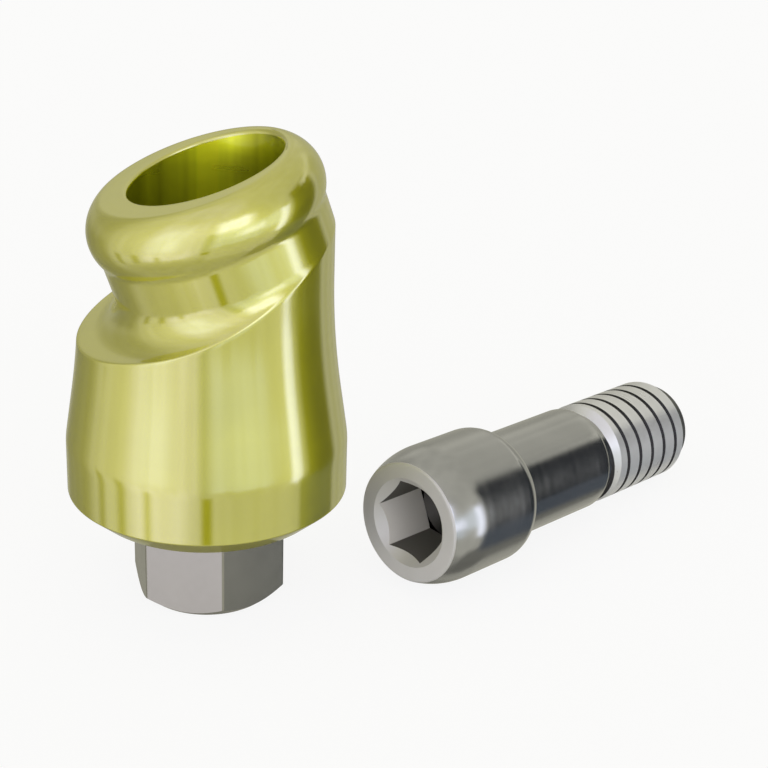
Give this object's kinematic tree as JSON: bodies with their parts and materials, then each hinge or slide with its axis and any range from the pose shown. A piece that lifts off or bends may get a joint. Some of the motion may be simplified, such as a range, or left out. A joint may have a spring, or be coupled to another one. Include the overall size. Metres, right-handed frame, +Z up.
{
  "type": "angled dental abutment",
  "caption": "Angled dental abutment with a leaning toroidal head, a hexagon base and a loose fixation screw beside it, for joining a prosthesis to an implant.",
  "frame": {"origin": "on the implant axis, where it leaves the end of the hexagon; the abutment stands there on the surface", "axes": "+Z up the implant axis, the abutment's head leans towards -X, square to a flat of the hexagon"},
  "size_m": [0.0128, 0.0062, 0.0084],
  "materials": {
    "gold_titanium": "polished yellow-green gold, a thin hard coating on turned titanium; the hexagon is left bare",
    "screw_titanium": "polished bare titanium"
  },
  "bodies": {
    "root": {"abutment_body": "gold_titanium", "fixation_screw": "screw_titanium"}
  },
  "joints": []
}
